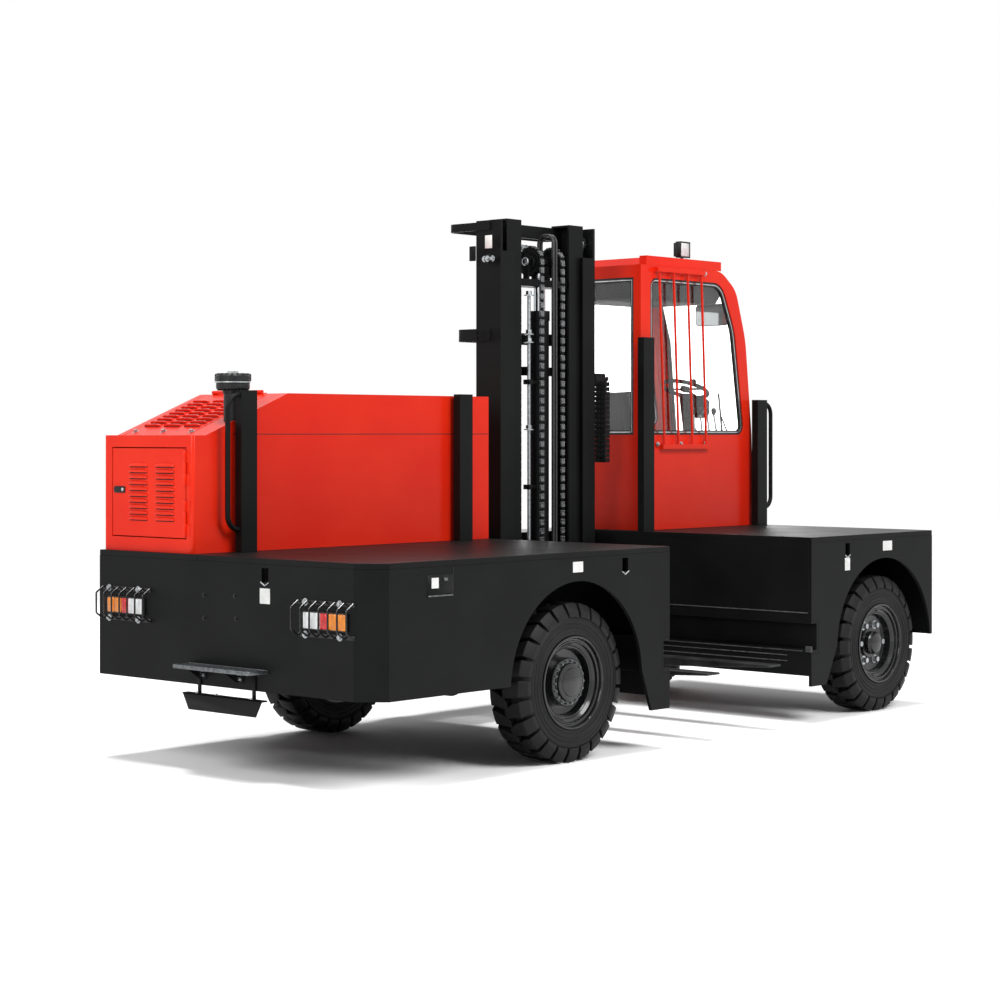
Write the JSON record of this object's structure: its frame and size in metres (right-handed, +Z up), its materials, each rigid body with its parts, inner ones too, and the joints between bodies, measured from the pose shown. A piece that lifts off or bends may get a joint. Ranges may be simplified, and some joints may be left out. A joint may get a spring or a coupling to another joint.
{
  "type": "side-loading forklift truck",
  "caption": "Side-loading forklift: mast travels across a well between two load platforms, with hood and cab along the other side",
  "frame": {"origin": "on the ground, below the middle of the truck's overall box", "axes": "+Z up; the truck drives towards -Y; its load side faces -X and its cab and hood side +X"},
  "size_m": [2.1213, 5.289, 3.062],
  "materials": {
    "red_paint": "gloss enamel",
    "black_paint": "satin enamel",
    "tyre_rubber": "matt, lightly dusty",
    "engine_iron": "painted casting",
    "black_plastic": "moulded",
    "seat_cover": "black vinyl",
    "lamp_lens": "clear and amber lenses",
    "window_glass": "clear",
    "bare_steel": "oiled, worn",
    "chromed_rod": "ground and chromed"
  },
  "bodies": {
    "root": {"air_intake": "black_plastic", "cab_glazing": "window_glass", "cab_shell": "red_paint", "console": "black_plastic", "drive_axle": "black_paint", "engine_block": "engine_iron", "front_deck": "black_paint", "front_frame": "black_paint", "front_plate": "black_paint", "front_skirts": "black_paint", "hood_shell": "red_paint", "lamp_guards": "black_paint", "lamps": "lamp_lens", "mirror": "black_plastic", "posts": "black_paint", "rear_deck": "black_paint", "rear_frame": "black_paint", "rear_plate": "black_paint", "rear_skirts": "black_paint", "rear_steps": "black_paint", "roof_slats": "red_paint", "seat": "seat_cover", "spine_beam": "black_paint", "steer_axle": "black_paint", "steering_wheel": "black_plastic", "window_guard": "red_paint", "work_lamp": "black_plastic"},
    "wheel_rear_left": {"tyre_rear_left": "tyre_rubber", "rim_rear_left": "black_paint"},
    "wheel_rear_right": {"tyre_rear_right": "tyre_rubber", "rim_rear_right": "black_paint"},
    "wheel_front_left": {"tyre_front_left": "tyre_rubber", "rim_front_left": "black_paint"},
    "wheel_front_right": {"tyre_front_right": "tyre_rubber", "rim_front_right": "black_paint"},
    "steering_left": {"knuckle_left": "black_paint"},
    "steering_right": {"knuckle_right": "black_paint"},
    "reach": {"reach_carriage": "black_paint", "tilt_barrels": "black_paint"},
    "mast": {"outer_mast": "black_paint", "lift_barrel": "black_paint", "hose_chain": "black_plastic"},
    "inner_stage": {"inner_mast": "black_paint", "lift_rod": "chromed_rod", "lift_chains": "bare_steel"},
    "fork_stage": {"fork_carriage": "black_paint", "forks": "bare_steel"},
    "tilt_pair": {"tilt_rods": "chromed_rod"},
    "cab_entry": {"cab_door": "red_paint", "door_glass": "window_glass"},
    "rear_access": {"access_door": "red_paint"},
    "louvre_cover": {"louvre_lid": "red_paint"}
  },
  "joints": [
    {"name": "rear_wheel_left_spin", "type": "hinge", "parent": "root", "child": "wheel_rear_left", "pos_m": [0.89, 0.9895, 0.425], "axis": [1, 0, 0], "continuous": true},
    {"name": "steer_left", "type": "hinge", "parent": "root", "child": "steering_left", "pos_m": [0.79, -2.0105, 0.425], "axis": [0, 0, 1], "range_deg": [-35, 35]},
    {"name": "front_wheel_left_spin", "type": "hinge", "parent": "steering_left", "child": "wheel_front_left", "pos_m": [0.89, -2.0105, 0.425], "axis": [1, 0, 0], "continuous": true},
    {"name": "rear_wheel_right_spin", "type": "hinge", "parent": "root", "child": "wheel_rear_right", "pos_m": [-0.89, 0.9895, 0.425], "axis": [1, 0, 0], "continuous": true},
    {"name": "steer_right", "type": "hinge", "parent": "root", "child": "steering_right", "pos_m": [-0.79, -2.0105, 0.425], "axis": [0, 0, 1], "range_deg": [-35, 35]},
    {"name": "front_wheel_right_spin", "type": "hinge", "parent": "steering_right", "child": "wheel_front_right", "pos_m": [-0.89, -2.0105, 0.425], "axis": [1, 0, 0], "continuous": true},
    {"name": "mast_reach", "type": "slide", "parent": "root", "child": "reach", "axis": [-1, 0, 0], "range_m": [0, 1.2]},
    {"name": "mast_tilt", "type": "hinge", "parent": "reach", "child": "mast", "pos_m": [0.54, -0.4955, 0.43], "axis": [0, -1, 0], "range_deg": [-3, 5]},
    {"name": "mast_lift", "type": "slide", "parent": "mast", "child": "inner_stage", "axis": [0, 0, 1], "range_m": [0, 1.5]},
    {"name": "fork_lift", "type": "slide", "parent": "inner_stage", "child": "fork_stage", "axis": [0, 0, 1], "range_m": [0, 1.5]},
    {"name": "tilt_rod_slide", "type": "slide", "parent": "reach", "child": "tilt_pair", "axis": [-0.9917, 0, -0.129], "range_m": [-0.026, 0.043]},
    {"name": "cab_door_swing", "type": "hinge", "parent": "root", "child": "cab_entry", "pos_m": [1.0553, -1.3665, 2], "axis": [0, 0, 1], "range_deg": [0, 80]},
    {"name": "access_door_swing", "type": "hinge", "parent": "root", "child": "rear_access", "pos_m": [0.364, 2.5048, 1.434], "axis": [0, 0, 1], "range_deg": [0, 110]},
    {"name": "louvre_lid_lift", "type": "hinge", "parent": "root", "child": "louvre_cover", "pos_m": [0.73, 1.8175, 1.9753], "axis": [1, 0, 0], "range_deg": [0, 70]}
  ],
  "couplings": [
    {"joint": "steer_right", "follows": "steer_left", "ratio": 1},
    {"joint": "fork_lift", "follows": "mast_lift", "ratio": 1},
    {"joint": "tilt_rod_slide", "follows": "mast_tilt", "m_per_rad": 0.474}
  ]
}
